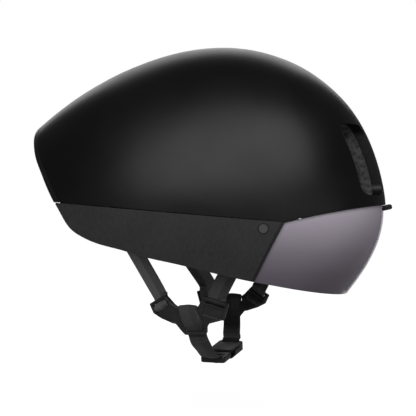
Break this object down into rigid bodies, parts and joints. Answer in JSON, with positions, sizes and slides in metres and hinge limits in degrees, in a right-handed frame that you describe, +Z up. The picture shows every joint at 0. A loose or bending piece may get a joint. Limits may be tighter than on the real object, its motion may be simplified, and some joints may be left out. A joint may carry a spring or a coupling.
{
  "type": "time trial cycling helmet",
  "caption": "Aero time trial cycling helmet: hard shell with front intakes and a cut-off tail, wrap lens, ear covers, foam liner, dial fit band and strap harness with side-release buckle.",
  "frame": {"origin": "middle of the head opening, on the brow line", "axes": "+X to the front of the helmet, +Y to the wearer's left, +Z up to the crown"},
  "size_m": [0.3082, 0.204, 0.2729],
  "materials": {
    "shell_black": "moulded hard shell, satin-gloss black",
    "rim_black": "matt black moulding",
    "cover_matte": "matt black skin with a fine woven look",
    "cap_grey": "grey moulded cap",
    "magnet_nickel": "nickel-plated magnet",
    "foam_black": "expanded foam with a moulded skin",
    "pad_fabric": "brushed fabric over soft foam",
    "band_plastic": "black nylon moulding",
    "webbing": "woven webbing",
    "buckle_plastic": "black acetal moulding",
    "lens_tint": "grey-violet tinted polycarbonate",
    "dial_rubber": "soft-touch grip",
    "screw_steel": "small steel screw"
  },
  "bodies": {
    "helmet": {"outer_shell": "shell_black", "tail_rim": "rim_black", "ear_cover_right": "cover_matte", "ear_cover_left": "cover_matte", "magnet_caps": "cap_grey", "cover_magnets": "magnet_nickel", "liner_front": "foam_black", "liner_rear": "foam_black", "tail_foam": "foam_black", "forehead_pad": "pad_fabric", "crown_pad": "pad_fabric", "side_pad_right": "pad_fabric", "side_pad_left": "pad_fabric", "rear_pad_right": "pad_fabric", "rear_pad_left": "pad_fabric", "headband": "band_plastic", "brow_pad": "pad_fabric", "headband_clips": "band_plastic", "stem_guide": "band_plastic", "strap_anchors": "band_plastic", "rear_strap_right": "webbing", "front_strap_right": "webbing", "rear_strap_left": "webbing", "front_strap_left": "webbing", "chin_strap_right": "webbing", "chin_strap_left": "webbing", "buckle_socket": "buckle_plastic"},
    "visor": {"visor_lens": "lens_tint", "lens_magnets": "magnet_nickel", "visor_tab": "rim_black"},
    "cradle": {"cradle_stem": "band_plastic", "dial_housing": "band_plastic", "housing_cover": "band_plastic"},
    "dial": {"fit_dial": "dial_rubber", "dial_pinion": "band_plastic", "dial_screw": "screw_steel"},
    "arm_right": {"band_right": "band_plastic", "cradle_pad_right": "pad_fabric"},
    "arm_left": {"band_left": "band_plastic", "cradle_pad_left": "pad_fabric"},
    "divider_right": {"divider_right": "buckle_plastic"},
    "divider_left": {"divider_left": "buckle_plastic"},
    "plug": {"buckle_plug": "buckle_plastic"},
    "release_front": {"release_arm_front": "buckle_plastic"},
    "release_rear": {"release_arm_rear": "buckle_plastic"}
  },
  "joints": [
    {"name": "visor_pull", "type": "slide", "parent": "helmet", "child": "visor", "axis": [1, 0, 0], "range_m": [0, 0.06]},
    {"name": "cradle_height", "type": "slide", "parent": "helmet", "child": "cradle", "axis": [0, 0, 1], "range_m": [-0.008, 0.008]},
    {"name": "dial_turn", "type": "hinge", "parent": "cradle", "child": "dial", "pos_m": [-0.1, 0, -0.019], "axis": [1, 0, 0], "range_deg": [0, 120]},
    {"name": "arm_right_close", "type": "slide", "parent": "cradle", "child": "arm_right", "axis": [0, 1, 0], "range_m": [0, 0.0105]},
    {"name": "arm_left_close", "type": "slide", "parent": "cradle", "child": "arm_left", "axis": [0, -1, 0], "range_m": [0, 0.0105]},
    {"name": "divider_right_height", "type": "slide", "parent": "helmet", "child": "divider_right", "axis": [0, 0, 1], "range_m": [-0.008, 0.012], "deforming": ["rear_strap_right", "front_strap_right", "chin_strap_right"]},
    {"name": "divider_left_height", "type": "slide", "parent": "helmet", "child": "divider_left", "axis": [0, 0, 1], "range_m": [-0.008, 0.012], "deforming": ["rear_strap_left", "front_strap_left", "chin_strap_left"]},
    {"name": "buckle_pull", "type": "slide", "parent": "helmet", "child": "plug", "axis": [-0.1149, -0.9811, -0.1554], "range_m": [0, 0.03], "deforming": ["chin_strap_right"]},
    {"name": "release_front_press", "type": "hinge", "parent": "plug", "child": "release_front", "pos_m": [-0.00535, -0.00867, -0.12772], "axis": [0, -0.1564, 0.9877], "range_deg": [0, 6], "stiffness_Nm_per_rad": 0.2},
    {"name": "release_rear_press", "type": "hinge", "parent": "plug", "child": "release_rear", "pos_m": [-0.01946, -0.00706, -0.12746], "axis": [0, 0.1564, -0.9877], "range_deg": [0, 6], "stiffness_Nm_per_rad": 0.2}
  ],
  "couplings": [
    {"joint": "arm_right_close", "follows": "dial_turn", "m_per_rad": 0.005},
    {"joint": "arm_left_close", "follows": "dial_turn", "m_per_rad": 0.005}
  ]
}
